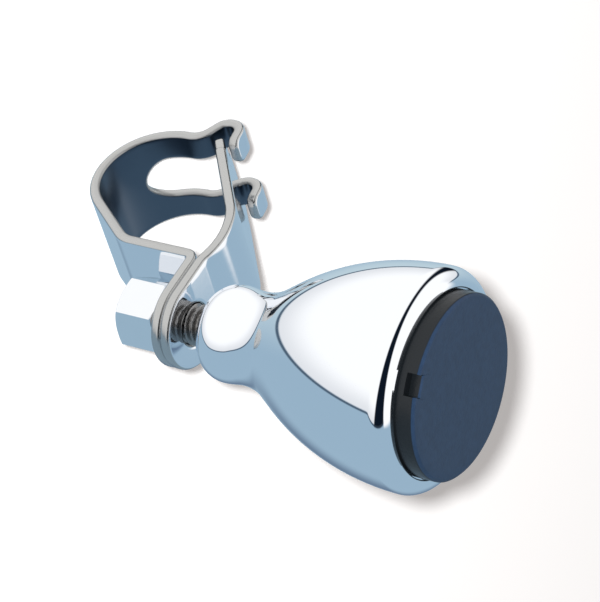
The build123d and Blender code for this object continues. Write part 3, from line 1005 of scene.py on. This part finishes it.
class KNOB_OT_stage(bpy.types.Operator):
    """Set the floor, the studio light and the camera"""

    bl_idname = "knob.stage"
    bl_label = "Stage"

    def execute(self, context):
        s = context.scene.knob_stage
        scene = context.scene
        sight = Vector(s.camera_sight).normalized()
        up = Vector(s.camera_up)
        up = (up - sight * up.dot(sight)).normalized()
        right = sight.cross(up)
        camera = bpy.data.objects.new("camera", bpy.data.cameras.new("camera"))
        scene.collection.objects.link(camera)
        turned = Matrix((right, up, -sight)).transposed().to_4x4()
        camera.matrix_world = Matrix.Translation(Vector(s.camera_place)) @ turned
        camera.data.lens = s.lens
        camera.data.sensor_width = SENSOR_WIDTH
        camera.data.clip_start = 0.01
        camera.data.clip_end = 20.0
        scene.camera = camera
        self.lamp(s, scene, camera.matrix_world, right, up)
        self.world(s, scene)
        self.dome(s, scene, up, right)
        self.floor(s, scene)
        scene.view_settings.view_transform = "Standard"
        return {"FINISHED"}

    def lamp(self, s, scene, place, right, up):
        """A small round lamp beside the camera, so that each shadow shows as a soft rim."""
        lamp = bpy.data.objects.new("lamp", bpy.data.lights.new("lamp", "AREA"))
        lamp.data.shape = "DISK"
        lamp.data.size = 2 * s.lamp_radius
        lamp.data.energy = s.lamp_power
        light = Shading(lamp.data)
        falloff = light.add("ShaderNodeLightFalloff", 1.0)
        light.fill(light.tree.nodes["Emission"], Strength=falloff.outputs["Constant"])
        shift = (LAMP_ABOVE * up - LAMP_LEFT * right).normalized() * s.lamp_shift
        lamp.matrix_world = Matrix.Translation(shift) @ place
        lamp.visible_glossy = False
        scene.collection.objects.link(lamp)

    def world(self, s, scene):
        """Soft even light, which camera, mirrors and glass see as plain white."""
        scene.world = bpy.data.worlds.new("studio")
        room = Shading(scene.world)
        soft = room.fill(room.tree.nodes["Background"], s.shade, s.shade_level)
        white = room.add("ShaderNodeBackground", (1.0, 1.0, 1.0))
        room.show(room.add("ShaderNodeMixShader", room.seen_directly(), soft.outputs[0], white.outputs[0]))

    def backdrop(self, scene, name, grid, material):
        """An object of the stage from a grid, with its faces towards the knob."""
        points, faces = gather([woven(grid)])
        mesh = bpy.data.meshes.new(name)
        mesh.from_pydata(points.tolist(), [], faces[:, ::-1].tolist())
        mesh.materials.append(material)
        board = bpy.data.objects.new(name, mesh)
        scene.collection.objects.link(board)
        return board

    def dome(self, s, scene, up, right):
        """Sphere round the object that only mirrors meet; its colour is a function of direction.

        One card fills the half of the sphere towards the picture's top and the camera, is
        greyer towards its edge, and has a dark hem. A dark gap parts it from a second card
        overhead, on the right. The walls are blue, paler high up and darker low down behind
        the object.
        """
        rise = np.linspace(-math.pi / 2, math.pi / 2, 33)[:, None]
        angle = round_angles(64)[None, :]
        ball = np.stack([np.cos(rise) * np.cos(angle), np.cos(rise) * np.sin(angle),
                         np.sin(rise) * np.ones_like(angle)], -1)
        paint = new_material("dome_glow")
        place = paint.add("ShaderNodeTexCoord").outputs["Object"]
        unit = paint.add("ShaderNodeVectorMath", place, operation="NORMALIZE").outputs["Vector"]

        def along(towards, low, high, low_value=0.0, high_value=1.0):
            """Smooth step over how far a point lies in a direction."""
            dot = paint.add("ShaderNodeVectorMath", unit, towards, operation="DOT_PRODUCT")
            return paint.ramp(dot.outputs["Value"], low, high, low_value, high_value,
                              interpolation_type="SMOOTHSTEP")

        def product(first, second):
            """Where both of two steps are high."""
            return paint.add("ShaderNodeMath", first, second, operation="MULTIPLY").outputs["Value"]

        back = -Vector(s.camera_sight).normalized()
        key = up + 0.95 * back  # direction of the large card's middle
        height = (0.0, 0.0, 1.0)
        behind = product(along(back, -1.0, -0.66, 1.0, 0.0), along(up, -0.34, -0.08, 1.0, 0.0))
        hem = product(along(key, -0.18, -0.15), along(key, -0.13, -0.09, 1.0, 0.0))
        gap = product(along(right - 0.4 * up, -0.04, 0.08), along(right, 0.52, 0.62, 1.0, 0.0))
        overhead = product(along(right, 0.52, 0.62), along(height, 0.52, 0.60))
        room = paint.mix(behind, s.sky, s.dusk)
        for amount, colour in (
            (along(up, 0.0, 0.65), s.haze),
            (hem, s.hem),
            (along(key, -0.13, -0.09), s.card_edge),
            (along(key, -0.12, 0.40), s.card),
            (product(gap, along(key, -0.20, -0.10)), s.seam),
            (product(overhead, along(up + 0.5 * back, -0.46, -0.40)), s.card),
        ):
            room = paint.mix(amount, room, colour)
        paint.show(paint.add("ShaderNodeEmission", room, DOME_GLOW))
        dome = self.backdrop(scene, "dome", ball * s.dome_radius, paint.owner)
        dome.visible_camera = False
        dome.visible_diffuse = False
        dome.visible_shadow = False

    def floor(self, s, scene):
        """A wide level disc under the object; what the camera sees of it is lifted to white."""
        angle = round_angles(96)
        reach = np.array([0.0, 0.5, 1.0, 1.9])[:, None]
        grid = np.stack([reach * np.cos(angle), reach * np.sin(angle), 0 * reach + cad_low.z + 0 * angle], -1)
        paper = new_material("floor_paper")
        paper.fill(paper.shader, Base_Color=s.floor, Roughness=1.0, Specular_IOR_Level=0.0)
        lift = paper.add("ShaderNodeMath", paper.seen_directly(), FLOOR_LIFT, operation="MULTIPLY")
        glow = paper.add("ShaderNodeEmission", Strength=lift.outputs["Value"])
        paper.show(paper.add("ShaderNodeAddShader", paper.shader.outputs["BSDF"], glow.outputs["Emission"]))
        board = self.backdrop(scene, "floor", grid, paper.owner)
        board.visible_glossy = False


class KNOB_PT_panel(bpy.types.Panel):
    """Lists the knob's pieces in the sidebar"""

    bl_idname = "KNOB_PT_panel"
    bl_label = "Spinner Knob"
    bl_space_type = "VIEW_3D"
    bl_region_type = "UI"
    bl_category = "Spinner Knob"

    def draw(self, context):
        for operator in OPERATORS:
            self.layout.operator(operator.bl_idname)


SETTINGS = {
    "knob_straps": StrapSettings,
    "knob_fasteners": FastenerSettings,
    "knob_shell": ShellSettings,
    "knob_cap": CapSettings,
    "knob_stage": StageSettings,
}
OPERATORS = (KNOB_OT_stage, KNOB_OT_shell, KNOB_OT_cap, KNOB_OT_spindle, KNOB_OT_nut, KNOB_OT_straps,
             KNOB_OT_inner_parts)


def register():
    """Add the settings, the operators and the panel."""
    for group in SETTINGS.values():
        bpy.utils.register_class(group)
    for operator in OPERATORS:
        bpy.utils.register_class(operator)
    bpy.utils.register_class(KNOB_PT_panel)
    for name, group in SETTINGS.items():
        setattr(bpy.types.Scene, name, bpy.props.PointerProperty(type=group))


def unregister():
    """Take them away again."""
    for name in SETTINGS:
        delattr(bpy.types.Scene, name)
    bpy.utils.unregister_class(KNOB_PT_panel)
    for operator in reversed(OPERATORS):
        bpy.utils.unregister_class(operator)
    for group in reversed(SETTINGS.values()):
        bpy.utils.unregister_class(group)


def main():
    """Make the whole scene."""
    register()
    bpy.ops.knob.stage()
    bpy.ops.knob.shell()
    bpy.ops.knob.cap()
    bpy.ops.knob.spindle()
    bpy.ops.knob.nut()
    bpy.ops.knob.straps()
    bpy.ops.knob.inner_parts()


if __name__ == "__main__":
    main()
